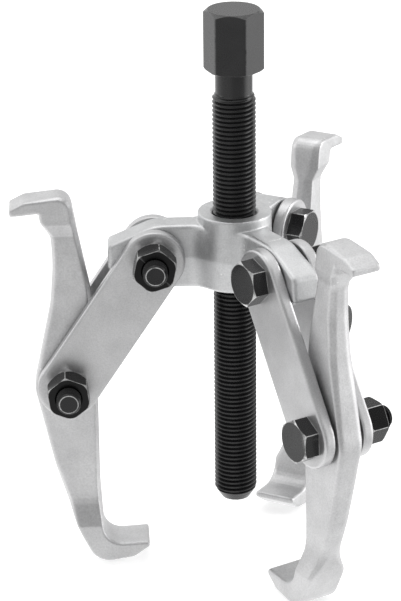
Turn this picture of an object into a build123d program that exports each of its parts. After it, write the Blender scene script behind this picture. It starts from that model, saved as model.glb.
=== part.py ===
from build123d import *
import os
from math import atan2, degrees, sqrt

# A three-jaw gear puller, sizes in millimetres.
# Frame: +Z up along the forcing screw, origin at the centre of the screw's flat lower end.
# Each arm is drawn in its own plane, with X outward from the screw, Y square to the arm and
# Z up, and is then turned about the screw to its place.

ARM_ANGLES = (180, 300, 60)          # where the arms point, seen from above

# Pivots of one arm: distance from the screw's axis, height
UPPER_PIVOT = (26.5, 87.9)
LOWER_PIVOT = (55.2, 44.2)

# Forcing screw, M14 x 1.5
SCREW_RADIUS = 7.0
SCREW_POINT_RADIUS = 4.7
SCREW_POINT_LENGTH = 3.6
THREAD_TOP = 142.0
NECK_RADIUS = 6.0
HEX_ACROSS_FLATS = 17.0
HEX_BOTTOM = 149.5
HEX_TOP = 169.3
HEX_CORNER_ANGLE = -9.7
DRIVE_TOP_CHAMFER = (1.5, 1.2)       # at the corners: inward, down
DRIVE_BOTTOM_CHAMFER = (0.85, 0.5)

# Ball in the screw's end
BALL_RADIUS = 3.0
BALL_CENTRE_HEIGHT = 2.0
BALL_CLEARANCE = 0.05

# Yoke
SCREW_CLEARANCE = 0.06
HUB_RADIUS = 12.6
HUB_COLLAR_RADIUS = 12.0
HUB_TOP = 101.9
COUNTERSINK_RADIUS = 8.0
ARM_HALF_HEIGHT = 10.7
ARM_HALF_THICKNESS = 5.35
ARM_SHOULDER = 26.3
ARM_LENGTH = 41.3
ARM_END_HALF_HEIGHT = 4.1
HUB_FILLET = 4.0
DRAFT_ANGLE = 4.0
YOKE_EDGE_ROUND = 0.8

# Strap links
STRAP_GAP = 10.9
STRAP_THICKNESS = 3.9
STRAP_WIDTH = 20.2
STRAP_EDGE_ROUND = 0.8

# M8 pivot bolts and nuts
BOLT_RADIUS = 4.0
BOLT_LENGTH = 31.0
BOLT_END_CHAMFER = 1.0
BOLT_CLEARANCE = 0.05
HEAD_HEIGHT = 5.3
NUT_HEIGHT = 8.0
BOLT_ACROSS_FLATS = 13.0
# Cut at the corners of a hex's end: inward, down
HEAD_CHAMFER = (1.0, 0.6)
NUT_CHAMFER = (0.6, 0.35)
NUT_CROWN = (0.95, 2.4)
NO_CHAMFER = (0.0, 0.0)

# Where each hex stopped when it was tightened, as the angle of a corner above the outward
# direction: head, nut
UPPER_HEX_TURN = ((10, 42), (44, 25), (55, 8))
LOWER_HEX_TURN = ((48, 22), (33, 0), (15, 37))

# Jaw outline about its pivot: outward, up, corner radius
JAW_OUTLINE = (
    (17.4, 58.9, 0.5), (17.6, 61.1, 0.6), (12.8, 63.6, 3.0), (-1.8, 65.6, 4.6),
    (-3.9, 53.8, 30.0), (-8.1, 32.0, 60.0), (-9.6, 8.0, 90.0), (-9.7, -36.0, 90.0),
    (-10.8, -58.6, 6.4), (-25.7, -57.7, 0.6), (-25.9, -59.6, 0.8), (-20.6, -63.4, 4.0),
    (-8.2, -65.4, 7.0), (-1.6, -52.2, 60.0), (4.9, -31.2, 90.0), (11.2, -1.6, 12.0),
    (5.2, 26.8, 50.0), (4.1, 41.0, 60.0), (4.5, 50.4, 6.0), (7.8, 56.4, 1.2),
    (8.2, 59.4, 0.8),
)
# Jaw half thickness at each height about its pivot, from foot to upper hook
JAW_THICKNESS = (
    (-70.0, 7.25), (-51.5, 7.1), (-44.0, 3.6), (-14.0, 4.3), (0.0, 4.5), (16.0, 4.4),
    (51.5, 3.6), (55.6, 5.3), (70.0, 5.3),
)

CUT_LENGTH = 60.0                    # a cutting tool longer than any piece it goes through
CUT_MARGIN = 1.0                     # how far a helper shape reaches past the piece
RIM_TOLERANCE = 0.2

PIVOT_BORE = BOLT_RADIUS + BOLT_CLEARANCE
STACK_HALF = STRAP_GAP / 2 + STRAP_THICKNESS


def place(part, arm_angle):
    """Turn a piece drawn in the arm's own plane to its place round the screw."""
    return Rot(0, 0, arm_angle) * part


def arm_face(points):
    """A face in the arm's plane, outward by height, from plain corners."""
    return Plane.XZ * make_face(Polyline(*points, close=True))


def cross_pin(radius, length, centre):
    """A cylinder square to the arm's plane, centred on it."""
    return Pos(centre[0], 0, centre[1]) * Rot(90, 0, 0) * Cylinder(radius, length)


def end_cone(across_flats, height, run, depth):
    """A solid of revolution that turns a prism's corners down at its upper end."""
    corner = across_flats / sqrt(3)
    rim = corner + CUT_MARGIN
    profile = Polyline(
        (0, -CUT_MARGIN), (rim, -CUT_MARGIN), (rim, height - depth - CUT_MARGIN * depth / run),
        (corner - run, height), (0, height), close=True,
    )
    return revolve(Plane.XZ * make_face(profile), Axis.Z)


def hexagon(across_flats, height, chamfer_top, chamfer_bottom):
    """A hexagonal prism standing on Z = 0 with a corner on X, its ends turned down to cones."""
    prism = extrude(RegularPolygon(across_flats / 2, 6, major_radius=False), height)
    if chamfer_top != NO_CHAMFER:
        prism &= end_cone(across_flats, height, *chamfer_top)
    if chamfer_bottom != NO_CHAMFER:
        cone = end_cone(across_flats, height, *chamfer_bottom)
        prism &= Pos(0, 0, height) * Rot(180, 0, 0) * cone
    return prism


def forcing_screw():
    """The screw: blunt cone point with a pocket for the ball, thread, neck and drive hex."""
    point = Pos(0, 0, SCREW_POINT_LENGTH / 2) * Cone(
        SCREW_POINT_RADIUS, SCREW_RADIUS, SCREW_POINT_LENGTH
    )
    thread_length = THREAD_TOP - SCREW_POINT_LENGTH
    thread = Pos(0, 0, SCREW_POINT_LENGTH + thread_length / 2) * Cylinder(
        SCREW_RADIUS, thread_length
    )
    neck_length = HEX_BOTTOM - THREAD_TOP
    neck = Pos(0, 0, THREAD_TOP + neck_length / 2) * Cylinder(NECK_RADIUS, neck_length)
    drive = hexagon(
        HEX_ACROSS_FLATS, HEX_TOP - HEX_BOTTOM, DRIVE_TOP_CHAMFER, DRIVE_BOTTOM_CHAMFER
    )
    drive = Pos(0, 0, HEX_BOTTOM) * Rot(0, 0, HEX_CORNER_ANGLE) * drive
    pocket = Pos(0, 0, BALL_CENTRE_HEIGHT) * Sphere(BALL_RADIUS + BALL_CLEARANCE)
    return point + thread + neck + drive - pocket


def tip_ball():
    """The hard ball that turns in the screw's end and presses on the shaft."""
    return Pos(0, 0, BALL_CENTRE_HEIGHT) * Sphere(BALL_RADIUS)


def arm_side_profile():
    """One arm seen from the side: level, then tapering to a short end face."""
    middle = UPPER_PIVOT[1]
    return arm_face([
        (0, middle - ARM_HALF_HEIGHT),
        (ARM_SHOULDER, middle - ARM_HALF_HEIGHT),
        (ARM_LENGTH, middle - ARM_END_HALF_HEIGHT),
        (ARM_LENGTH, middle + ARM_END_HALF_HEIGHT),
        (ARM_SHOULDER, middle + ARM_HALF_HEIGHT),
        (0, middle + ARM_HALF_HEIGHT),
    ])


def yoke_plan():
    """The forging's outline at its parting line, seen from above."""
    plan = Circle(HUB_RADIUS)
    for angle in ARM_ANGLES:
        bar = Pos(ARM_LENGTH / 2, 0) * Rectangle(ARM_LENGTH, 2 * ARM_HALF_THICKNESS)
        plan += Rot(0, 0, angle) * bar
    reach = HUB_RADIUS + CUT_MARGIN
    corners = [v for v in plan.vertices() if sqrt(v.X ** 2 + v.Y ** 2) < reach]
    return fillet(corners, HUB_FILLET)


def is_arm_rim(edge):
    """True for an edge round an arm's top, bottom or end face, away from the hub."""
    middle = edge @ 0.5
    off_centre = abs(middle.Z - UPPER_PIVOT[1])
    from_axis = sqrt(middle.X ** 2 + middle.Y ** 2)
    return off_centre > ARM_END_HALF_HEIGHT - RIM_TOLERANCE and from_axis > HUB_RADIUS


def yoke():
    """The forged body: a hub for the screw and three drafted arms."""
    middle = UPPER_PIVOT[1]
    plan = Pos(0, 0, middle) * yoke_plan()
    body = extrude(plan, ARM_HALF_HEIGHT, taper=DRAFT_ANGLE)
    body += extrude(plan, -ARM_HALF_HEIGHT, taper=DRAFT_ANGLE)
    side = extrude(arm_side_profile(), HUB_RADIUS + CUT_MARGIN, both=True)
    envelope = Pos(0, 0, middle) * Cylinder(HUB_RADIUS + 2 * CUT_MARGIN, 2 * ARM_HALF_HEIGHT)
    for angle in ARM_ANGLES:
        envelope += place(side, angle)
    body &= envelope
    body = fillet([edge for edge in body.edges() if is_arm_rim(edge)], YOKE_EDGE_ROUND)
    bottom = middle - ARM_HALF_HEIGHT
    body += Pos(0, 0, (HUB_TOP + middle) / 2) * Cylinder(HUB_COLLAR_RADIUS, HUB_TOP - middle)
    bore_radius = SCREW_RADIUS + SCREW_CLEARANCE
    body -= Pos(0, 0, middle) * Cylinder(bore_radius, CUT_LENGTH)
    sink = COUNTERSINK_RADIUS - bore_radius
    body -= Pos(0, 0, HUB_TOP - sink / 2) * Cone(bore_radius, COUNTERSINK_RADIUS, sink)
    body -= Pos(0, 0, bottom + sink / 2) * Cone(COUNTERSINK_RADIUS, bore_radius, sink)
    for angle in ARM_ANGLES:
        body -= place(cross_pin(PIVOT_BORE, CUT_LENGTH, UPPER_PIVOT), angle)
    return body


def strap(side):
    """One strap link with its two bolt holes; side is -1 by the heads and 1 by the nuts."""
    length = sqrt(
        (LOWER_PIVOT[0] - UPPER_PIVOT[0]) ** 2 + (LOWER_PIVOT[1] - UPPER_PIVOT[1]) ** 2
    )
    slope = degrees(atan2(LOWER_PIVOT[1] - UPPER_PIVOT[1], LOWER_PIVOT[0] - UPPER_PIVOT[0]))
    outline = SlotCenterToCenter(length, STRAP_WIDTH)
    plate = extrude(outline, STRAP_THICKNESS)
    for end in (-1, 1):
        plate -= Pos(end * length / 2, 0, 0) * Cylinder(PIVOT_BORE, CUT_LENGTH)
    rim = plate.faces().sort_by(Axis.Z)[-1].outer_wire().edges()
    plate = fillet(rim, STRAP_EDGE_ROUND)
    centre_x = (UPPER_PIVOT[0] + LOWER_PIVOT[0]) / 2
    centre_z = (UPPER_PIVOT[1] + LOWER_PIVOT[1]) / 2
    if side < 0:
        upright = Rot(90, 0, 0) * Rot(0, 0, slope) * plate
    else:
        upright = Rot(-90, 0, 0) * Rot(0, 0, -slope) * plate
    return Pos(centre_x, side * STRAP_GAP / 2, centre_z) * upright


def bolt(pivot, turn):
    """A hex bolt through one pivot, its head on the side towards -Y."""
    head = hexagon(BOLT_ACROSS_FLATS, HEAD_HEIGHT, HEAD_CHAMFER, NO_CHAMFER)
    head = Rot(180, 0, 0) * Rot(0, 0, turn) * head
    shank = Pos(0, 0, BOLT_LENGTH / 2) * Cylinder(BOLT_RADIUS, BOLT_LENGTH)
    shank = chamfer(shank.edges().sort_by(Axis.Z)[-1], BOLT_END_CHAMFER)
    return Pos(pivot[0], -STACK_HALF, pivot[1]) * Rot(-90, 0, 0) * (head + shank)


def nut(pivot, turn):
    """A hex lock nut on the side towards +Y, its steep round crown against the strap."""
    body = hexagon(BOLT_ACROSS_FLATS, NUT_HEIGHT, NUT_CHAMFER, NUT_CROWN)
    body -= Pos(0, 0, NUT_HEIGHT / 2) * Cylinder(PIVOT_BORE, CUT_LENGTH)
    body = Rot(-90, 0, 0) * Rot(0, 0, -turn) * body
    return Pos(pivot[0], STACK_HALF, pivot[1]) * body


def jaw_blank():
    """The jaw's side outline as a plate as thick as its foot."""
    corners = [(x, z) for x, z, radius in JAW_OUTLINE]
    radii = [radius for x, z, radius in JAW_OUTLINE]
    outline = FilletPolyline(*corners, radius=radii, close=True)
    half = max(thickness for height, thickness in JAW_THICKNESS)
    return extrude(Plane.XZ * make_face(outline), half, both=True)


def jaw_thickness_block():
    """The jaw seen edge on: thin necks between the hub of the pivot and the two hooks."""
    right = [(half, z) for z, half in JAW_THICKNESS]
    left = [(-half, z) for z, half in reversed(JAW_THICKNESS)]
    section = Plane.YZ * make_face(Polyline(*right, *left, close=True))
    return extrude(section, CUT_LENGTH, both=True)


def jaw():
    """One double-ended jaw: a hook outward at the top, a broad hook inward at the foot."""
    body = jaw_blank() & jaw_thickness_block()
    body -= cross_pin(PIVOT_BORE, CUT_LENGTH, (0, 0))
    return Pos(LOWER_PIVOT[0], 0, LOWER_PIVOT[1]) * body


def write_part(name, part):
    """Write one node's STEP file."""
    export_step(part, os.path.join("parts", name + ".step"))


os.makedirs("parts", exist_ok=True)
write_part("forcing_screw", forcing_screw())
write_part("tip_ball", tip_ball())
write_part("yoke", yoke())
for number, angle in enumerate(ARM_ANGLES, start=1):
    upper_head, upper_nut = UPPER_HEX_TURN[number - 1]
    lower_head, lower_nut = LOWER_HEX_TURN[number - 1]
    write_part(f"strap_head_side_{number}", place(strap(-1), angle))
    write_part(f"strap_nut_side_{number}", place(strap(1), angle))
    write_part(f"upper_bolt_{number}", place(bolt(UPPER_PIVOT, upper_head), angle))
    write_part(f"upper_nut_{number}", place(nut(UPPER_PIVOT, upper_nut), angle))
    write_part(f"lower_bolt_{number}", place(bolt(LOWER_PIVOT, lower_head), angle))
    write_part(f"lower_nut_{number}", place(nut(LOWER_PIVOT, lower_nut), angle))
    write_part(f"jaw_{number}", place(jaw(), angle))
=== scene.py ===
from math import atan2, cos, pi, radians, sin, sqrt

import bmesh
import bpy
import numpy as np
import openvdb
from mathutils import Matrix, Vector


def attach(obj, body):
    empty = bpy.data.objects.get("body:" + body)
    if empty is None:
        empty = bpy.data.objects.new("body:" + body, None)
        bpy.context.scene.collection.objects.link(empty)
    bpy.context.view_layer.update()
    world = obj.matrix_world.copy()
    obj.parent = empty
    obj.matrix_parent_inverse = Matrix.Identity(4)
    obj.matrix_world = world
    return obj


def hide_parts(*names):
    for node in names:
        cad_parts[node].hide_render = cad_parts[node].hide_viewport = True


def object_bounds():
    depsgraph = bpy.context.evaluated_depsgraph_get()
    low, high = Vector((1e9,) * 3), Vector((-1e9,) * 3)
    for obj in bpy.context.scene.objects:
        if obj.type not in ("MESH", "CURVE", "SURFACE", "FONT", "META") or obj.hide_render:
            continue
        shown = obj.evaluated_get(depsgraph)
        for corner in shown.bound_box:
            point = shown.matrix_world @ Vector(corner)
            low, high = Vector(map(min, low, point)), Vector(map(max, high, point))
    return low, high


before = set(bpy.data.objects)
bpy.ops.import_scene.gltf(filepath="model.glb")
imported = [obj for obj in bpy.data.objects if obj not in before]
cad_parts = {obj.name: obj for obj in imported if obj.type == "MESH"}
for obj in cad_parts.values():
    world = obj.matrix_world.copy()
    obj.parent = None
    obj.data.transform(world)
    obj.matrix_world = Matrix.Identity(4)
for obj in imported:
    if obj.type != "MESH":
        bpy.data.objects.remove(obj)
cad_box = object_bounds()

# A three-jaw gear puller. Lengths in this script are millimetres until a mesh is made, and
# each arm has its own plane: u outward from the screw, n square to it (towards the nuts), z up.

MM = 0.001
ARM_ANGLES = (180, 300, 60)
UPPER_PIVOT = (26.5, 87.9)
LOWER_PIVOT = (55.2, 44.2)
PIVOT_BORE = 4.05
REAMED_EDGE = 0.3                    # softness of a pivot bore's mouth

# Forcing screw
SCREW_RADIUS = 7.0
SCREW_PITCH = 1.5
SCREW_POINT_RADIUS = 4.7
SCREW_POINT_LENGTH = 3.6
THREAD_TOP = 142.0
THREAD_RUNOUT = 1.6
NECK_RADIUS = 6.0
HEX_BOTTOM = 149.5
HEX_TOP = 169.3
HEX_ACROSS_FLATS = 17.0
HEX_CORNER_ANGLE = -9.7
DRIVE_WEAR_AND_HIGHLIGHT = 0.12                    # how strong the painted highlight, partly rubbed oxide, is on the drive hex's edges, from 0 to 1
NECK_FLARE = (0.5, 0.6)              # the neck's widening under the hex: outward, along
BALL_CENTRE = 2.0
BALL_POCKET = 3.05                   # radius of the hollow that holds the ball
POCKET_STEPS = 14
SCREW_SEGMENTS = 56

# Pivot bolts and nuts
BOLT_RADIUS = 4.0
BOLT_PITCH = 1.25
BOLT_LENGTH = 31.0
BOLT_THREAD_START = 17.0
BOLT_RELIEF = 3.2                    # radius where the thread starts
BOLT_END_RADIUS = 3.0
BOLT_RIM = 0.23                      # height of the chamfer left beyond the last thread
BOLT_RELIEF_LENGTH = 0.8             # length of the taper from the shank down to the relief
BOLT_SEGMENTS = 36
STACK_HALF = 9.35
HEAD_HEIGHT = 5.3
NUT_HEIGHT = 8.0
BOLT_ACROSS_FLATS = 13.0
# Cut at the corners of a hex's end: inward, down
DRIVE_TOP_CHAMFER = (1.5, 1.2)
DRIVE_BOTTOM_CHAMFER = (0.85, 0.5)
HEAD_CHAMFER = (1.0, 0.6)
NUT_CHAMFER = (0.6, 0.35)
NUT_CROWN = (0.95, 2.4)
NO_CHAMFER = (0.0, 0.0)
UPPER_HEX_TURN = ((10, 42), (44, 25), (55, 8))
LOWER_HEX_TURN = ((48, 22), (33, 0), (15, 37))

# Jaw: its outline about its pivot (outward, up, corner radius) and half thickness by height
JAW_OUTLINE = (
    (17.4, 58.9, 0.5), (17.6, 61.1, 0.6), (12.8, 63.6, 3.0), (-1.8, 65.6, 4.6),
    (-3.9, 53.8, 30.0), (-8.1, 32.0, 60.0), (-9.6, 8.0, 90.0), (-9.7, -36.0, 90.0),
    (-10.8, -58.6, 6.4), (-25.7, -57.7, 0.6), (-25.9, -59.6, 0.8), (-20.6, -63.4, 4.0),
    (-8.2, -65.4, 7.0), (-1.6, -52.2, 60.0), (4.9, -31.2, 90.0), (11.2, -1.6, 12.0),
    (5.2, 26.8, 50.0), (4.1, 41.0, 60.0), (4.5, 50.4, 6.0), (7.8, 56.4, 1.2),
    (8.2, 59.4, 0.8),
)
JAW_THICKNESS = (
    (-70.0, 7.25), (-51.5, 7.1), (-46.5, 4.85), (-44.5, 4.15), (-42.5, 3.8), (-40.5, 3.68),
    (-14.0, 4.3), (0.0, 4.5), (16.0, 4.4), (51.5, 3.6), (55.6, 5.3), (70.0, 5.3),
)
# The drafted bevel of the jaw's rims, its depth into the side and across the thickness, and the
# share of it that is left by height and by distance outward: it dies out at the tips
BEVEL_IN = 1.2
BEVEL_ACROSS = 2.4
BEVEL_BY_HEIGHT = ((-70.0, 0.35), (-53.0, 0.35), (-44.0, 1.0), (57.0, 1.0), (65.0, 0.6))
BEVEL_BY_DISTANCE = ((1.0, 1.0), (9.0, 0.55), (15.5, 0.15))
JAW_SOFTNESS = 0.3
JAW_BOX = ((-27.5, -8.6, -67.5), (19.5, 8.6, 67.5))      # sampled about the pivot

# Yoke
HUB_RADIUS = 12.6
HUB_COLLAR_RADIUS = 12.0
HUB_TOP = 101.9
SCREW_CLEARANCE = 0.06
COUNTERSINK_RADIUS = 8.0
ARM_HALF_HEIGHT = 10.7
ARM_HALF_THICKNESS = 5.35
ARM_SHOULDER = 26.3
ARM_LENGTH = 41.3
ARM_END_HALF_HEIGHT = 4.1
HUB_FILLET = 4.0
DRAFT = 0.0699                       # tan of 4 degrees
YOKE_EDGE = 1.3
COLLAR_EDGE = 0.6
YOKE_BOX = ((-43.0, -39.0, 75.5), (25.0, 39.0, 103.5))

# Strap links
STRAP_GAP = 10.9
STRAP_THICKNESS = 3.9
STRAP_WIDTH = 20.2
STRAP_OUTER_EDGE = 1.0
STRAP_INNER_EDGE = 0.4
STRAP_MARGIN = 1.0                   # sampled beyond the plate on each side

EMBED = 0.8                          # how far a turned piece reaches into the one it joins
GRID = 0.35   # spacing of the distance fields
WORN_AND_LIT_LINE = 0.18                     # width of the line of painted highlight, partly rubbed oxide, along a hex's edges
FACE_EDGE_WEAR_AND_HIGHLIGHT = 0.8                 # how strong the painted highlight, partly rubbed oxide, is at the edge of a hex's end face
CORNER_WEAR_AND_HIGHLIGHT = 0.9                    # how strong it is on the corners between the flats
MERGE_DISTANCE = 0.004               # vertices closer than this are one
SLIVER = 0.001                       # edges shorter than this are dissolved
TURNED_ANGLE = 20                    # the largest angle shaded smooth, in degrees
FORGED_ANGLE = 50
FIELD_LIMIT = 5.0                    # distance held where a field isn't sampled


# ---------------------------------------------------------------- mesh helpers

def arm_matrix(angle):
    """From an arm's own plane to the row frame."""
    return Matrix.Rotation(radians(angle), 4, "Z")


def new_object(name, vertices, faces, wear_and_highlight=None, smooth_angle=TURNED_ANGLE):
    """A mesh object from millimetre vertices, shaded smooth up to an angle.

    The wear argument holds, from 0 to 1, how much painted highlight, partly rubbed oxide, each
    vertex takes.
    """
    mesh = bpy.data.meshes.new(name)
    mesh.from_pydata([(x * MM, y * MM, z * MM) for x, y, z in vertices], [], faces)
    if wear_and_highlight:
        mesh.attributes.new("wear_and_highlight", "FLOAT", "POINT").data.foreach_set("value", wear_and_highlight)
    bm = bmesh.new()
    bm.from_mesh(mesh)
    bmesh.ops.remove_doubles(bm, verts=bm.verts, dist=MERGE_DISTANCE * MM)
    bmesh.ops.dissolve_degenerate(bm, edges=bm.edges, dist=SLIVER * MM)
    bmesh.ops.recalc_face_normals(bm, faces=bm.faces)
    for face in bm.faces:
        face.smooth = True
    for edge in bm.edges:
        if len(edge.link_faces) == 2 and edge.calc_face_angle(0) > radians(smooth_angle):
            edge.smooth = False
    bm.to_mesh(mesh)
    bm.free()
    obj = bpy.data.objects.new(name, mesh)
    bpy.context.scene.collection.objects.link(obj)
    return obj


def stand_for(obj, body, node, material):
    """obj replaces a CAD node, rides its body and takes its finish."""
    obj.data.materials.clear()
    obj.data.materials.append(material)
    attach(obj, body)
    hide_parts(node)


# ---------------------------------------------------------------- distance fields

def smooth_max(a, b, k):
    """The larger of two distances, rounded by about k where they cross."""
    h = np.maximum(k - np.abs(a - b), 0.0) / k
    return np.maximum(a, b) + h * h * k * 0.25


def smooth_min(a, b, k):
    return -smooth_max(-a, -b, k)


def rounded_polygon(corners, steps=7):
    """Points round an outline whose corners are (x, y, radius)."""
    out = []
    count = len(corners)
    for i in range(count):
        p = np.array(corners[i][:2])
        to_a = np.array(corners[i - 1][:2]) - p
        to_b = np.array(corners[(i + 1) % count][:2]) - p
        len_a, len_b = np.linalg.norm(to_a), np.linalg.norm(to_b)
        to_a, to_b = to_a / len_a, to_b / len_b
        half = 0.5 * np.arccos(np.clip(to_a @ to_b, -1, 1))
        reach = min(corners[i][2] / np.tan(half), 0.49 * len_a, 0.49 * len_b)
        radius = reach * np.tan(half)
        centre = p + (to_a + to_b) / np.linalg.norm(to_a + to_b) * radius / np.sin(half)
        start, end = p + to_a * reach - centre, p + to_b * reach - centre
        a0 = np.arctan2(start[1], start[0])
        turn = (np.arctan2(end[1], end[0]) - a0 + pi) % (2 * pi) - pi
        for t in np.linspace(0, 1, steps):
            a = a0 + turn * t
            out.append((centre[0] + radius * np.cos(a), centre[1] + radius * np.sin(a)))
    return np.array(out)


def polygon_distance(x, y, points):
    """Signed distance to a closed polygon, negative inside."""
    best = np.full(x.shape, 1e9)
    inside = np.zeros(x.shape, bool)
    for (ax, ay), (bx, by) in zip(points, np.roll(points, -1, axis=0)):
        dx, dy = bx - ax, by - ay
        t = np.clip(((x - ax) * dx + (y - ay) * dy) / (dx * dx + dy * dy + 1e-12), 0, 1)
        best = np.minimum(best, (x - ax - t * dx) ** 2 + (y - ay - t * dy) ** 2)
        if ay != by:
            crosses = (ay > y) != (by > y)
            inside ^= crosses & (x < (bx - ax) * (y - ay) / (by - ay) + ax)
    return np.sqrt(best) * np.where(inside, -1.0, 1.0)


def surface_of(field, low, name):
    """The zero surface of a field sampled every GRID mm from the corner low."""
    grid = openvdb.FloatGrid()
    grid.background = FIELD_LIMIT
    grid.copyFromArray(field.astype(np.float32))
    points, quads = grid.convertToQuads(isovalue=0.0)
    vertices = points * GRID + np.array(low)
    return new_object(name, vertices.tolist(), quads.tolist(), smooth_angle=FORGED_ANGLE)


def grid_axes(low, high):
    """Broadcastable coordinates of a sampling box."""
    axes = [np.arange(a, b + GRID, GRID) for a, b in zip(low, high)]
    return np.meshgrid(*axes, indexing="ij")


# ---------------------------------------------------------------- forged pieces

def build_jaw():
    """The jaw about its pivot: forged, with bevelled rims and a reamed bore."""
    outline = rounded_polygon(JAW_OUTLINE)
    low, high = JAW_BOX
    x, y, z = grid_axes(low, high)
    rim = polygon_distance(x[:, 0, :], z[:, 0, :], outline)[:, None, :]
    heights = [h for h, t in JAW_THICKNESS]
    halves = [t for h, t in JAW_THICKNESS]
    side = np.abs(y) - np.interp(z, heights, halves)
    body = smooth_max(rim + 0 * y, side, JAW_SOFTNESS)
    share = np.interp(z, *zip(*BEVEL_BY_HEIGHT)) * np.interp(x, *zip(*BEVEL_BY_DISTANCE))
    steepness = sqrt(1 / BEVEL_IN ** 2 + 1 / BEVEL_ACROSS ** 2)
    bevel = (rim / BEVEL_IN + side / BEVEL_ACROSS + share) / steepness
    body = smooth_max(body, bevel, JAW_SOFTNESS)
    bore = PIVOT_BORE - np.sqrt(x ** 2 + z ** 2)
    body = smooth_max(body, bore, REAMED_EDGE)
    return surface_of(body, low, "jaw")


def build_yoke():
    """The hub and its three drafted arms as one forging, with soft forged edges."""
    middle = UPPER_PIVOT[1]
    low, high = YOKE_BOX
    x, y, z = grid_axes(low, high)
    up = z - middle
    draft = DRAFT * np.abs(up)
    radius = np.sqrt(x ** 2 + y ** 2)
    plan = radius - HUB_RADIUS + draft
    height = np.abs(up) - ARM_HALF_HEIGHT
    arms = np.full(x.shape, 1e3)
    bores = np.full(x.shape, -1e3)
    run = ARM_LENGTH - ARM_SHOULDER
    drop = ARM_HALF_HEIGHT - ARM_END_HALF_HEIGHT
    for angle in ARM_ANGLES:
        c, s = cos(radians(angle)), sin(radians(angle))
        u, n = x * c + y * s, y * c - x * s
        slant = (u - ARM_SHOULDER) * drop + (np.abs(up) - ARM_HALF_HEIGHT) * run
        slant = slant / sqrt(run ** 2 + drop ** 2)
        arm = np.maximum(np.abs(n) - ARM_HALF_THICKNESS + draft, -u)
        arm = smooth_max(arm, slant, YOKE_EDGE)
        arm = smooth_max(arm, u - ARM_LENGTH, YOKE_EDGE)
        arms = np.minimum(arms, arm)
        bores = np.maximum(bores, PIVOT_BORE - np.sqrt((u - UPPER_PIVOT[0]) ** 2 + up ** 2))
    body = smooth_min(plan, arms, HUB_FILLET)
    body = smooth_max(body, height, YOKE_EDGE)
    collar = np.maximum(radius - HUB_COLLAR_RADIUS, np.maximum(z - HUB_TOP, middle - z))
    body = np.minimum(body, smooth_max(collar, z - HUB_TOP, COLLAR_EDGE))
    bore_radius = SCREW_RADIUS + SCREW_CLEARANCE
    bottom = middle - ARM_HALF_HEIGHT
    body = np.maximum(body, bore_radius - radius)
    for sink in (COUNTERSINK_RADIUS - (HUB_TOP - z), COUNTERSINK_RADIUS - (z - bottom)):
        body = np.maximum(body, (sink - radius) / sqrt(2))
    body = smooth_max(body, bores, REAMED_EDGE)
    return surface_of(body, low, "yoke_forging")


def build_strap():
    """One link plate along X, its inner face on Z = 0: rolled outer rim, two reamed holes."""
    length = sqrt(
        (LOWER_PIVOT[0] - UPPER_PIVOT[0]) ** 2 + (LOWER_PIVOT[1] - UPPER_PIVOT[1]) ** 2
    )
    half = STRAP_WIDTH / 2
    reach = length / 2 + half
    low = (-reach - STRAP_MARGIN, -half - STRAP_MARGIN, -STRAP_MARGIN)
    high = (reach + STRAP_MARGIN, half + STRAP_MARGIN, STRAP_THICKNESS + STRAP_MARGIN)
    x, y, z = grid_axes(low, high)
    rim = np.sqrt(np.maximum(np.abs(x) - length / 2, 0.0) ** 2 + y ** 2) - half
    body = smooth_max(rim, z - STRAP_THICKNESS, STRAP_OUTER_EDGE)
    body = smooth_max(body, -z, STRAP_INNER_EDGE)
    for end in (-1, 1):
        hole = PIVOT_BORE - np.sqrt((x - end * length / 2) ** 2 + y ** 2)
        body = smooth_max(body, hole, REAMED_EDGE)
    return surface_of(body, low, "strap")


# ---------------------------------------------------------------- turned pieces

# Where a thread's flat crest, first flank and flat root end, as shares of its pitch
CREST_END = 0.125
FLANK_END = 0.4375
ROOT_END = 0.6875
FLANK = FLANK_END - CREST_END
THREAD_PHASES = (0.0, CREST_END, 0.28, FLANK_END, ROOT_END, 0.84)
DEPTH_PER_PITCH = 0.6134             # of a metric thread


def thread_radius(phase, crest, depth):
    """Radius of a 60 degree thread at a phase from 0 to 1: flat crest, flank, flat root."""
    if phase < CREST_END:
        return crest
    if phase < FLANK_END:
        return crest - depth * (phase - CREST_END) / FLANK
    if phase < ROOT_END:
        return crest - depth
    return crest - depth * (1.0 - phase) / FLANK


def threaded_rod(crest, pitch, start, end, limit, segments):
    """A true helical thread along Z, closed at both ends; limit(z) caps the radius at a height."""
    depth = DEPTH_PER_PITCH * pitch
    rows = []
    turns = int((end - start) / pitch) + 3
    for turn in range(-1, turns):
        for phase in THREAD_PHASES:
            row = []
            for i in range(segments + 1):
                z = start + (turn + phase + i / segments) * pitch
                clamped = min(max(z, start), end)
                value = thread_radius(phase, crest, depth)
                row.append((clamped, min(value, limit(clamped))))
            rows.append(row)
    vertices, faces = [], []
    for row in rows:
        for i, (z, r) in enumerate(row[:-1]):
            a = 2 * pi * i / segments
            vertices.append((r * cos(a), r * sin(a), z))
    step = len(THREAD_PHASES)
    for j in range(len(rows) - 1):
        for i in range(segments):
            if i < segments - 1:
                quad = (j * segments + i, j * segments + i + 1,
                        (j + 1) * segments + i + 1, (j + 1) * segments + i)
            else:
                k = j + step
                if k + 1 >= len(rows):
                    continue
                quad = (j * segments + i, k * segments, (k + 1) * segments, (j + 1) * segments + i)
            faces.append(quad)
    return vertices, faces, [0.0] * len(vertices)


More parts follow.
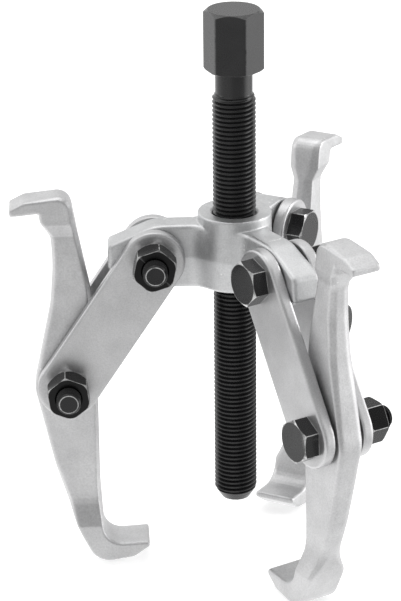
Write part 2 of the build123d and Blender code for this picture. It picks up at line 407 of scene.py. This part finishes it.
def lathe(profile, segments):
    """Vertices, faces and per-vertex painted highlight, partly rubbed oxide, of a profile of
    (radius, z, highlight) turned about Z.
    """
    vertices, faces, wear_and_highlight = [], [], []
    for r, z, bare_and_lit in profile:
        for i in range(segments):
            a = 2 * pi * i / segments
            vertices.append((r * cos(a), r * sin(a), z))
            wear_and_highlight.append(bare_and_lit)
    for j in range(len(profile) - 1):
        for i in range(segments):
            k = (i + 1) % segments
            faces.append((
                j * segments + i, j * segments + k, (j + 1) * segments + k, (j + 1) * segments + i
            ))
    return vertices, faces, wear_and_highlight


def join(*parts):
    """Several (vertices, faces, per-vertex painted highlight) as one."""
    vertices, faces, wear_and_highlight = [], [], []
    for v, f, w in parts:
        base = len(vertices)
        vertices += v
        faces += [tuple(i + base for i in face) for face in f]
        wear_and_highlight += w
    return vertices, faces, wear_and_highlight


# Steps round one sixth of a hex, in degrees from a corner: close together where it is rounded
HEX_STEPS = (0, 0.7, 1.5, 3, 6, 13, 21, 30, 39, 47, 54, 57, 58.5, 59.3)
HEX_CORNER_STEPS = (0, 0.7, 59.3)    # the steps on the rounded corner itself
HEX_ROUNDING = 70                    # a higher power gives a sharper corner


def hex_radius(angle, across_flats):
    """Radius of a hexagon with slightly rounded corners, angle in degrees from a corner."""
    flat = across_flats / 2
    total = 0.0
    for k in range(6):
        share = cos(radians(angle - 30 - 60 * k)) / flat
        if share > 0:
            total += share ** HEX_ROUNDING
    return total ** (-1 / HEX_ROUNDING)


def hex_solid(
    across_flats, low, high, corner_angle, low_cone, high_cone, bare_and_lit=1.0, bore=None, sink=0.45
):
    """A hexagonal prism along Z, its ends turned down to cones given as (run, depth).

    The bare argument is how strong the painted highlight, partly rubbed oxide, is along its edges.
    A bore is a radius, sunk by sink at each end.
    """
    corner = across_flats / sqrt(3)
    angles = [60 * k + step for k in range(6) for step in HEX_STEPS]

    def wall(a):
        return hex_radius(a, across_flats)

    def end_rings(level, sign, cone):
        """From the middle of an end face over its edge and onto the flats."""
        run, depth = cone
        limit = corner - run if run else corner + 1
        slope = depth / run if run else 0

        def face(a):
            return min(limit, wall(a))

        def edge(a):
            return level - sign * max(0.0, wall(a) - limit) * slope

        rings = []
        if bore:
            rings.append((lambda a: bore, lambda a: level - sign * sink, 0.0))
            rings.append((lambda a: bore + sink, lambda a: level, 0.0))
        # The rings at the edge of the end face and at the top of the flats carry a painted
        # highlight, partly rubbed oxide; the rings a line's width away carry none, so it stays a
        # thin line
        rings.append((lambda a: face(a) - WORN_AND_LIT_LINE, lambda a: level, 0.0))
        rings.append((face, lambda a: level, FACE_EDGE_WEAR_AND_HIGHLIGHT))
        rings.append((wall, edge, 1.0))
        rings.append((wall, lambda a: edge(a) - sign * WORN_AND_LIT_LINE, 0.0))
        return rings

    rings = end_rings(low, -1, low_cone) + end_rings(high, 1, high_cone)[::-1]
    vertices, wear_and_highlight = [], []
    for radius, height, on_edge in rings:
        for i, a in enumerate(angles):
            turned = radians(a + corner_angle)
            r = radius(a)
            vertices.append((r * cos(turned), r * sin(turned), height(a)))
            # The corners between the flats take the painted highlight too
            on_wall = radius == wall
            on_corner = HEX_STEPS[i % len(HEX_STEPS)] in HEX_CORNER_STEPS
            wear_and_highlight.append(bare_and_lit * max(on_edge, CORNER_WEAR_AND_HIGHLIGHT if on_wall and on_corner else 0.0))
    count = len(angles)
    faces = []
    last = len(rings) if bore else len(rings) - 1
    for j in range(last):
        k = (j + 1) % len(rings)
        for i in range(count):
            m = (i + 1) % count
            faces.append((j * count + i, j * count + m, k * count + m, k * count + i))
    if not bore:
        faces.append(tuple(range(count)))
        faces.append(tuple((len(rings) - 1) * count + i for i in range(count)))
    return vertices, faces, wear_and_highlight


def build_screw():
    """Point with the ball's pocket, rolled thread, neck and drive hex."""
    def limit(z):
        point = SCREW_POINT_RADIUS + (SCREW_RADIUS - SCREW_POINT_RADIUS) * z / SCREW_POINT_LENGTH
        runout = NECK_RADIUS + (THREAD_TOP - z) * (SCREW_RADIUS - NECK_RADIUS) / THREAD_RUNOUT
        return min(point, runout, SCREW_RADIUS)

    thread = threaded_rod(SCREW_RADIUS, SCREW_PITCH, 0.0, THREAD_TOP, limit, SCREW_SEGMENTS)
    rim = sqrt(BALL_POCKET ** 2 - BALL_CENTRE ** 2)
    hollow = [(SCREW_POINT_RADIUS, 0.0, 0.5), (rim, 0.0, 0.5)]
    first = np.arctan2(-BALL_CENTRE, rim)
    for t in np.linspace(first, pi / 2, POCKET_STEPS)[1:]:
        hollow.append((max(0.0, BALL_POCKET * cos(t)), BALL_CENTRE + BALL_POCKET * sin(t), 0.0))
    flared = NECK_RADIUS + NECK_FLARE[0]
    neck = [
        (NECK_RADIUS, THREAD_TOP, 0.0), (NECK_RADIUS, HEX_BOTTOM - NECK_FLARE[1], 0.0),
        (flared, HEX_BOTTOM, 0.0), (flared, HEX_BOTTOM + EMBED, 0.0),
        (0.0, HEX_BOTTOM + EMBED, 0.0),
    ]
    drive = hex_solid(
        HEX_ACROSS_FLATS, HEX_BOTTOM, HEX_TOP, HEX_CORNER_ANGLE,
        DRIVE_BOTTOM_CHAMFER, DRIVE_TOP_CHAMFER, bare_and_lit=DRIVE_WEAR_AND_HIGHLIGHT,
    )
    turned = join(thread, lathe(hollow, SCREW_SEGMENTS), lathe(neck, SCREW_SEGMENTS), drive)
    return new_object("screw_shaft", *turned)


def build_bolt(name, turn):
    """A hex bolt along Z, head below, with a real thread and its far end's chamfer painted light
    steel: a painted highlight.
    """
    head = hex_solid(
        BOLT_ACROSS_FLATS, -HEAD_HEIGHT, 0.0, -turn, HEAD_CHAMFER, NO_CHAMFER
    )

    def limit(z):
        relief = BOLT_RELIEF + (z - BOLT_THREAD_START)
        end = BOLT_END_RADIUS + (BOLT_LENGTH - z)
        return min(relief, end, BOLT_RADIUS)

    thread_end = BOLT_LENGTH - BOLT_RIM
    thread = threaded_rod(
        BOLT_RADIUS, BOLT_PITCH, BOLT_THREAD_START, thread_end, limit, BOLT_SEGMENTS
    )
    shank = lathe([
        (0.0, -EMBED, 0.0), (BOLT_RADIUS, -EMBED, 0.0),
        (BOLT_RADIUS, BOLT_THREAD_START - BOLT_RELIEF_LENGTH, 0.0),
        (BOLT_RELIEF, BOLT_THREAD_START, 0.0),
    ], BOLT_SEGMENTS)
    # The end chamfer ring takes a painted highlight; the end disc stays black
    cap = lathe([
        (BOLT_END_RADIUS + BOLT_RIM, thread_end, 0.7), (BOLT_END_RADIUS, BOLT_LENGTH, 1.0),
        (BOLT_END_RADIUS - WORN_AND_LIT_LINE, BOLT_LENGTH, 0.0), (0.0, BOLT_LENGTH, 0.0),
    ], BOLT_SEGMENTS)
    return new_object(name, *join(head, shank, thread, cap))


def build_nut(name, turn):
    """A hex lock nut along Z with a countersunk bore, its steep crown below."""
    return new_object(name, *hex_solid(
        BOLT_ACROSS_FLATS, 0.0, NUT_HEIGHT, -turn, NUT_CROWN, NUT_CHAMFER, bore=PIVOT_BORE
    ))


# ---------------------------------------------------------------- materials

# Edge colours: each one paints a highlight along edges, together with some rubbed finish
PLATED_EDGE_RUB_AND_HIGHLIGHT = (0.86, 0.86, 0.86)
BLACK_EDGE_RUB_AND_HIGHLIGHT = (0.10, 0.10, 0.102)
BARE_STEEL_AND_HIGHLIGHT = (0.62, 0.62, 0.62)


def new_material(name):
    material = bpy.data.materials.new(name)
    material.use_nodes = True
    tree = material.node_tree
    shader = tree.nodes["Principled BSDF"]
    return material, tree, shader


def node(tree, kind, **inputs):
    made = tree.nodes.new(kind)
    for key, value in inputs.items():
        made.inputs[key].default_value = value
    return made


def noise(tree, scale, detail, rough=0.5):
    """Noise at a scale in features per metre, from the piece's own coordinates."""
    place = tree.nodes.new("ShaderNodeTexCoord")
    made = node(tree, "ShaderNodeTexNoise", Scale=scale, Detail=detail, Roughness=rough)
    tree.links.new(place.outputs["Object"], made.inputs["Vector"])
    return made.outputs["Fac"]


def remap(tree, source, low, high, to_low, to_high):
    made = node(tree, "ShaderNodeMapRange")
    for index, value in zip((1, 2, 3, 4), (low, high, to_low, to_high)):
        made.inputs[index].default_value = value
    tree.links.new(source, made.inputs[0])
    return made.outputs[0]


def mix_colour(tree, factor, a, b):
    made = tree.nodes.new("ShaderNodeMix")
    made.data_type = "RGBA"
    for index, value in ((6, a), (7, b)):
        if isinstance(value, tuple):
            made.inputs[index].default_value = (*value, 1)
        else:
            tree.links.new(value, made.inputs[index])
    tree.links.new(factor, made.inputs[0])
    return made.outputs[2]


def bump_chain(tree, shader, layers):
    """Bumps of (height source, distance in mm, strength), one on the next."""
    last = None
    for height, distance, strength in layers:
        made = node(tree, "ShaderNodeBump", Strength=strength, Distance=distance * MM)
        tree.links.new(height, made.inputs["Height"])
        if last:
            tree.links.new(last, made.inputs["Normal"])
        last = made.outputs["Normal"]
    tree.links.new(last, shader.inputs["Normal"])


def edge_mask(tree, low, high):
    """1 on outer edges, from the surface's pointiness."""
    geometry = tree.nodes.new("ShaderNodeNewGeometry")
    return remap(tree, geometry.outputs["Pointiness"], low, high, 0.0, 1.0)


def plated(name, dark, light, rough_low, rough_high, grain, grain_bump, swell_bump):
    """Satin plating over blasted steel: fine grain, slow tone changes, and lighter outer edges, a
    painted highlight with some rubbed plating.
    """
    material, tree, shader = new_material(name)
    fine = noise(tree, grain, 5.0, 0.65)
    slow = noise(tree, 120.0, 3.0)
    swell = noise(tree, 330.0, 2.0)
    tone = mix_colour(tree, remap(tree, slow, 0.35, 0.65, 0.0, 1.0), dark, light)
    speck = remap(tree, fine, 0.30, 0.72, 0.80, 1.06)
    scaled = node(tree, "ShaderNodeVectorMath")
    scaled.operation = "SCALE"
    tree.links.new(tone, scaled.inputs[0])
    tree.links.new(speck, scaled.inputs["Scale"])
    # Outer edges turn lighter: a painted highlight, partly rubbed plating
    edged = mix_colour(tree, edge_mask(tree, 0.55, 0.70), scaled.outputs[0], PLATED_EDGE_RUB_AND_HIGHLIGHT)
    tree.links.new(edged, shader.inputs["Base Color"])
    shader.inputs["Metallic"].default_value = 0.92
    tree.links.new(remap(tree, fine, 0.3, 0.7, rough_low, rough_high), shader.inputs["Roughness"])
    bump_chain(tree, shader, [(swell, swell_bump, 0.5), (fine, grain_bump, 0.6)])
    return material


def blackened(name, base, rough, shine):
    """Black oxide: a dark film that shines like glass, faintly mottled, greyer on its edges and
    light steel along the hex edges: painted highlights with some rubbed oxide.
    """
    material, tree, shader = new_material(name)
    fine = noise(tree, 2600.0, 4.0, 0.6)
    slow = noise(tree, 160.0, 3.0)
    faded = tuple(2.2 * c for c in base)
    tone = mix_colour(tree, remap(tree, slow, 0.4, 0.7, 0.0, 0.6), base, faded)
    # Outer edges turn grey: a painted highlight, partly rubbed oxide
    edged = mix_colour(tree, edge_mask(tree, 0.56, 0.70), tone, BLACK_EDGE_RUB_AND_HIGHLIGHT)
    # Where the per-vertex attribute is set, the colour turns to light steel: a painted highlight
    # along the hex edges and the bolt's end chamfer, partly rubbed oxide
    bare_and_lit = tree.nodes.new("ShaderNodeAttribute")
    bare_and_lit.attribute_name = "wear_and_highlight"
    patchy = tree.nodes.new("ShaderNodeMath")
    patchy.operation = "MULTIPLY"
    tree.links.new(bare_and_lit.outputs["Fac"], patchy.inputs[0])
    tree.links.new(remap(tree, noise(tree, 420.0, 2.0), 0.36, 0.52, 0.30, 1.0), patchy.inputs[1])
    worn_and_lit = mix_colour(tree, patchy.outputs[0], edged, BARE_STEEL_AND_HIGHLIGHT)
    tree.links.new(worn_and_lit, shader.inputs["Base Color"])
    tree.links.new(remap(tree, patchy.outputs[0], 0.0, 1.0, 0.0, 0.6), shader.inputs["Metallic"])
    shader.inputs["Specular IOR Level"].default_value = shine
    uneven = remap(tree, fine, 0.3, 0.7, rough - 0.04, rough + 0.07)
    tree.links.new(uneven, shader.inputs["Roughness"])
    bump_chain(tree, shader, [(slow, 0.04, 0.25), (fine, 0.010, 0.35)])
    return material


def polished():
    """The hard ball: bright, with a little staining."""
    material, tree, shader = new_material("ball_finish")
    slow = noise(tree, 500.0, 3.0)
    fine = noise(tree, 5000.0, 3.0)
    stain = remap(tree, slow, 0.4, 0.65, 0.0, 1.0)
    tone = mix_colour(tree, stain, (0.70, 0.70, 0.72), (0.58, 0.57, 0.56))
    tree.links.new(tone, shader.inputs["Base Color"])
    shader.inputs["Metallic"].default_value = 1.0
    tree.links.new(remap(tree, fine, 0.3, 0.7, 0.10, 0.20), shader.inputs["Roughness"])
    bump_chain(tree, shader, [(fine, 0.003, 0.4)])
    return material


SCREW_FINISH = blackened("screw_finish", (0.006, 0.006, 0.0065), 0.27, 0.5)
BOLT_FINISH = blackened("bolt_finish", (0.006, 0.006, 0.0065), 0.25, 0.42)
NUT_FINISH = blackened("nut_finish", (0.003, 0.003, 0.0032), 0.24, 0.22)
YOKE_FINISH = plated(
    "yoke_finish", (0.58, 0.585, 0.59), (0.66, 0.665, 0.67), 0.36, 0.50, 1900.0, 0.035, 0.10
)
JAW_FINISH = plated(
    "jaw_finish", (0.60, 0.60, 0.605), (0.68, 0.68, 0.685), 0.38, 0.52, 1700.0, 0.04, 0.12
)
STRAP_FINISH = plated(
    "strap_finish", (0.58, 0.58, 0.585), (0.64, 0.64, 0.645), 0.34, 0.46, 2600.0, 0.016, 0.03
)
BALL_FINISH = polished()


# ---------------------------------------------------------------- putting the pieces in place

def put(obj, angle, pivot, offset=0.0, along_n=False):
    """Bakes a piece's place on one arm into its mesh; along_n turns its Z to the n direction."""
    matrix = arm_matrix(angle) @ Matrix.Translation(Vector((pivot[0], offset, pivot[1])) * MM)
    if along_n:
        matrix = matrix @ Matrix.Rotation(radians(-90), 4, "X")
    obj.data.transform(matrix)


def strap_matrix(angle, sign):
    """A plate's place: sign is -1 on the side of the bolt heads and 1 on that of the nuts."""
    rise, run = LOWER_PIVOT[1] - UPPER_PIVOT[1], LOWER_PIVOT[0] - UPPER_PIVOT[0]
    middle = Vector((
        (UPPER_PIVOT[0] + LOWER_PIVOT[0]) / 2, sign * STRAP_GAP / 2,
        (UPPER_PIVOT[1] + LOWER_PIVOT[1]) / 2,
    ))
    stand = Matrix.Rotation(radians(-90 * sign), 4, "X")
    slope = Matrix.Rotation(-sign * atan2(rise, run), 4, "Z")
    return arm_matrix(angle) @ Matrix.Translation(middle * MM) @ stand @ slope


def copy_of(obj, name):
    made = bpy.data.objects.new(name, obj.data.copy())
    bpy.context.scene.collection.objects.link(made)
    return made


screw = build_screw()
stand_for(screw, "screw", "forcing_screw", SCREW_FINISH)
yoke = build_yoke()
stand_for(yoke, "yoke", "yoke", YOKE_FINISH)
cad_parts["tip_ball"].data.materials.clear()
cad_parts["tip_ball"].data.materials.append(BALL_FINISH)

jaw_pattern = build_jaw()
strap_pattern = build_strap()
for number, angle in enumerate(ARM_ANGLES, start=1):
    link = f"link_{number}"
    jaw = copy_of(jaw_pattern, f"jaw_forging_{number}")
    put(jaw, angle, LOWER_PIVOT)
    stand_for(jaw, f"jaw_{number}", f"jaw_{number}", JAW_FINISH)
    pivots = (("upper", UPPER_PIVOT, UPPER_HEX_TURN), ("lower", LOWER_PIVOT, LOWER_HEX_TURN))
    for level, pivot, turns in pivots:
        head_turn, nut_turn = turns[number - 1]
        bolt = build_bolt(f"{level}_hex_bolt_{number}", head_turn)
        put(bolt, angle, pivot, -STACK_HALF, along_n=True)
        stand_for(bolt, link, f"{level}_bolt_{number}", BOLT_FINISH)
        nut = build_nut(f"{level}_hex_nut_{number}", nut_turn)
        put(nut, angle, pivot, STACK_HALF, along_n=True)
        stand_for(nut, link, f"{level}_nut_{number}", NUT_FINISH)
    for side, sign in (("head", -1), ("nut", 1)):
        strap = copy_of(strap_pattern, f"strap_plate_{side}_{number}")
        strap.data.transform(strap_matrix(angle, sign))
        stand_for(strap, link, f"strap_{side}_side_{number}", STRAP_FINISH)
bpy.data.objects.remove(strap_pattern)
bpy.data.objects.remove(jaw_pattern)


# ---------------------------------------------------------------- floor, light and camera

FLOOR_SIZE = 20.0                    # its far edge stays out of the widest poses
FLOOR_GAP = 0.0002
bpy.ops.mesh.primitive_grid_add(x_subdivisions=2, y_subdivisions=2, size=FLOOR_SIZE)
floor = bpy.context.object
floor.name = "floor"
floor.location.z = cad_box[0].z - FLOOR_GAP
floor_material, _, floor_shader = new_material("floor_white")
floor_shader.inputs["Base Color"].default_value = (0.93, 0.93, 0.93, 1)
floor_shader.inputs["Roughness"].default_value = 0.9
floor_shader.inputs["Specular IOR Level"].default_value = 0.0
floor_shader.inputs["Emission Color"].default_value = (1, 1, 1, 1)
floor_shader.inputs["Emission Strength"].default_value = 0.35
floor.data.materials.append(floor_material)
floor.visible_glossy = False
floor.visible_diffuse = False
floor.visible_shadow = False

world = bpy.data.worlds.new("studio")
bpy.context.scene.world = world
world.use_nodes = True
tree = world.node_tree
background = tree.nodes["Background"]
background.inputs["Color"].default_value = (1, 1, 1, 1)
direction = tree.nodes.new("ShaderNodeTexCoord")
split = tree.nodes.new("ShaderNodeSeparateXYZ")
tree.links.new(direction.outputs["Generated"], split.inputs[0])


def added(a, b):
    made = tree.nodes.new("ShaderNodeMath")
    made.operation = "ADD"
    tree.links.new(a, made.inputs[0])
    tree.links.new(b, made.inputs[1])
    return made.outputs[0]


# Dim in front and bright underfoot, as over a white table, brighter behind, a soft source at
# the left and a narrow strong one at the right. The first row also holds the level in front.
lobes = (
    (split.outputs["Z"], 0.5, -0.4, 0.32, 0.60),
    (split.outputs["Z"], -0.45, -0.95, 0.0, 0.60),
    (split.outputs["Z"], 0.50, 0.95, 0.0, 0.70),
    (split.outputs["Y"], -0.3, 0.9, 0.0, 0.52),
    (split.outputs["X"], 0.84, 0.93, 0.0, 1.50),
    (split.outputs["X"], -0.05, -0.50, 0.0, 0.30),
)
total = remap(tree, *lobes[0])
for lobe in lobes[1:]:
    total = added(total, remap(tree, *lobe))
tree.links.new(total, background.inputs["Strength"])


def area_light(name, place, aim, size, power):
    data = bpy.data.lights.new(name, "AREA")
    data.shape = "RECTANGLE"
    data.size, data.size_y = size
    data.energy = power
    obj = bpy.data.objects.new(name, data)
    obj.location = place
    obj.rotation_mode = "QUATERNION"
    obj.rotation_quaternion = (Vector(aim) - Vector(place)).to_track_quat("-Z", "Y")
    bpy.context.scene.collection.objects.link(obj)


# Metres from here on
MIDDLE = (0, 0, 0.08)
LOW_LIGHT_AIM = (-0.055, 0.0, 0.0)
area_light("light_left", (-0.9, 0.1, 0.5), MIDDLE, (0.3, 0.6), 1.0)
area_light("light_right", (0.9, 0.1, 0.5), MIDDLE, (0.3, 0.6), 2.0)
area_light("light_top", (0.0, 0.3, 1.1), MIDDLE, (0.7, 0.5), 1.2)
area_light("light_low", (-0.07, -0.30, -0.13), LOW_LIGHT_AIM, (0.30, 0.16), 0.06)

CAMERA_SENSOR = 36.0
CAMERA_LENS = 166.16
CAMERA_DISTANCE = 0.905828
CAMERA_TARGET = Vector(MIDDLE)
CAMERA_ELEVATION = 21.493
CAMERA_AZIMUTH = -3.316
CAMERA_ROLL = -0.292
TARGET_RIGHT, TARGET_UP = 0.7076, 0.5694     # the target's place in view, degrees off centre

camera_data = bpy.data.cameras.new("camera")
camera_data.sensor_width = CAMERA_SENSOR
camera_data.lens = CAMERA_LENS
camera = bpy.data.objects.new("camera", camera_data)
bpy.context.scene.collection.objects.link(camera)
azimuth = Matrix.Rotation(radians(CAMERA_AZIMUTH), 4, "Z")
turn = azimuth @ Matrix.Rotation(radians(90 - CAMERA_ELEVATION), 4, "X")
back = turn.to_3x3() @ Vector((0, 0, CAMERA_DISTANCE))
roll = Matrix.Rotation(radians(CAMERA_ROLL), 4, "Z")
aim = Matrix.Rotation(radians(TARGET_RIGHT), 4, "Y") @ Matrix.Rotation(radians(-TARGET_UP), 4, "X")
camera.matrix_world = Matrix.Translation(CAMERA_TARGET + back) @ turn @ roll @ aim
bpy.context.scene.camera = camera
bpy.context.scene.view_settings.view_transform = "Standard"
